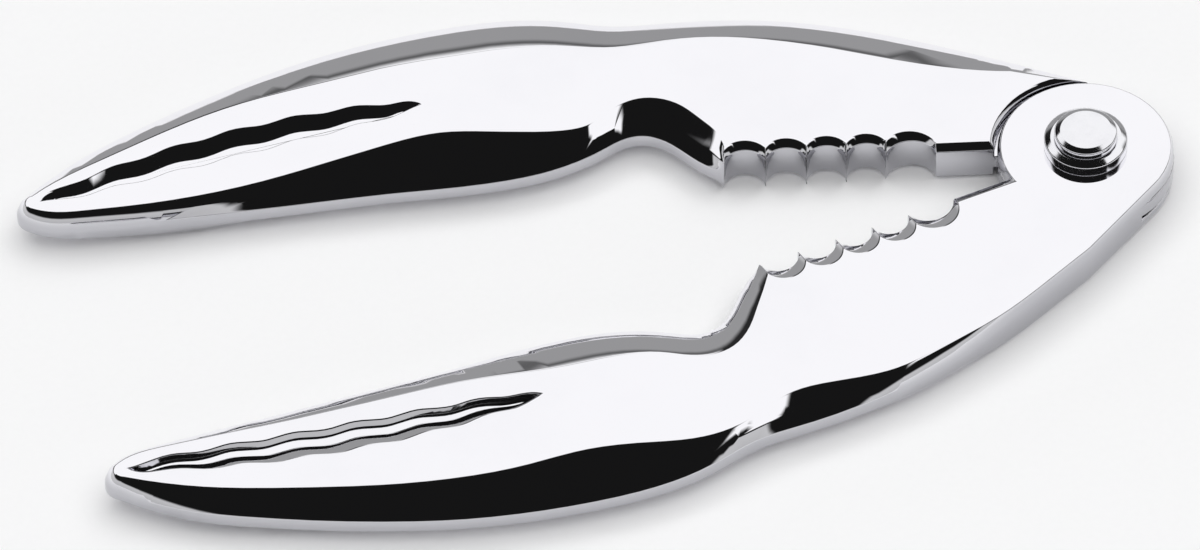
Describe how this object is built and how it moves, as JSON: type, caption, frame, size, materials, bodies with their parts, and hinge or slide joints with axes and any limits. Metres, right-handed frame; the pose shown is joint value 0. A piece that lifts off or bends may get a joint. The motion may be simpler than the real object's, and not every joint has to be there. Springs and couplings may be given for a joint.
{
  "type": "nutcracker",
  "caption": "Hand nutcracker with two claw-shaped chromed arms, toothed jaws and a riveted hinge; the grooved handles squeeze together to crack nuts or shellfish.",
  "frame": {"origin": "on the pivot axis, in the plane of the flat back faces that the nutcracker lies on", "axes": "+X from the handle tips towards the pivot, +Z along the pivot axis out of the front, +Y towards the tongue arm; the arms spread evenly to both sides of -X"},
  "size_m": [0.1777, 0.1026, 0.0108],
  "materials": {
    "chromed_casting": "polished",
    "plated_rivet": "polished"
  },
  "bodies": {
    "fork": {"fork_arm": "chromed_casting", "rivet": "plated_rivet", "rivet_washer": "plated_rivet"},
    "tongue": {"tongue_arm": "chromed_casting"}
  },
  "joints": [
    {"name": "arm_hinge", "type": "hinge", "parent": "fork", "child": "tongue", "pos_m": [0, 0, 0.0036], "axis": [0, 0, -1], "range_deg": [-16.9, 80]}
  ]
}
